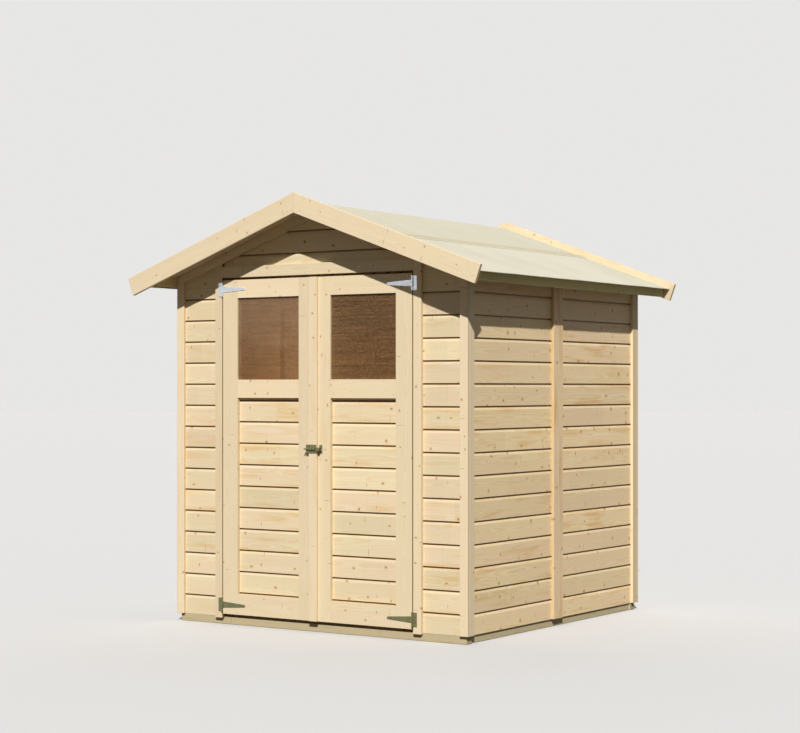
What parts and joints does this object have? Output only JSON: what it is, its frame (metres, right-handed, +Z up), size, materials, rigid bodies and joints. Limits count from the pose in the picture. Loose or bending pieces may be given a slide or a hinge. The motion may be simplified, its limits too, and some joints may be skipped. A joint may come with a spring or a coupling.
{
  "type": "wooden garden shed with a gable roof and double doors",
  "caption": "Small gable-roofed garden shed of horizontal tongued boards, with double half-glazed doors on T-hinges and a sliding latch bolt.",
  "frame": {"origin": "on the ground at the centre of the four walls, under the middle floor joist", "axes": "+Z up, -Y out of the doors, +X to the right of a person facing the doors, along the front wall"},
  "size_m": [2.172, 2.099, 2.203],
  "materials": {
    "treated_timber": "matte",
    "frame_timber": "matte",
    "wall_boards": "matte",
    "trim_timber": "matte",
    "roof_sheet": "matte",
    "galvanised_steel": "satin",
    "clear_pane": "gloss"
  },
  "bodies": {
    "shed": {"side_bearers": "treated_timber", "cross_bearers": "treated_timber", "floor_joists": "treated_timber", "floor_boards": "frame_timber", "front_wall_left": "wall_boards", "front_wall_right": "wall_boards", "front_gable": "wall_boards", "back_wall": "wall_boards", "left_wall": "wall_boards", "right_wall": "wall_boards", "front_corner_boards": "trim_timber", "back_corner_boards": "trim_timber", "cover_battens": "trim_timber", "door_jambs": "trim_timber", "corner_posts": "frame_timber", "wall_studs": "frame_timber", "door_header": "frame_timber", "wall_plates": "frame_timber", "ridge_purlin": "frame_timber", "eave_battens": "frame_timber", "left_rake_battens": "trim_timber", "right_rake_battens": "trim_timber", "left_roof_boards": "frame_timber", "right_roof_boards": "frame_timber", "eave_fascias": "frame_timber", "lower_roof_sheets": "roof_sheet", "ridge_roof_sheet": "roof_sheet", "left_bargeboards": "trim_timber", "right_bargeboards": "trim_timber", "hinge_plates": "galvanised_steel"},
    "left_door": {"left_door_stiles": "trim_timber", "left_door_rails": "trim_timber", "left_door_panel": "wall_boards", "left_door_lining": "frame_timber", "left_door_pane": "clear_pane", "left_door_straps": "galvanised_steel", "meeting_strip": "trim_timber", "latch_plate": "galvanised_steel"},
    "right_door": {"right_door_stiles": "trim_timber", "right_door_rails": "trim_timber", "right_door_panel": "wall_boards", "right_door_lining": "frame_timber", "right_door_pane": "clear_pane", "right_door_straps": "galvanised_steel", "latch_keeper": "galvanised_steel"},
    "bolt": {"latch_bolt": "galvanised_steel"}
  },
  "joints": [
    {"name": "left_door_hinge", "type": "hinge", "parent": "shed", "child": "left_door", "pos_m": [-0.59175, -0.9135, 0.9], "axis": [0, 0, -1], "range_deg": [0, 110]},
    {"name": "right_door_hinge", "type": "hinge", "parent": "shed", "child": "right_door", "pos_m": [0.59175, -0.9135, 0.9], "axis": [0, 0, 1], "range_deg": [0, 110]},
    {"name": "bolt_slide", "type": "slide", "parent": "left_door", "child": "bolt", "axis": [1, 0, 0], "range_m": [0, 0.024]}
  ],
  "couplings": [
    {"joint": "right_door_hinge", "follows": "left_door_hinge", "ratio": 1}
  ]
}
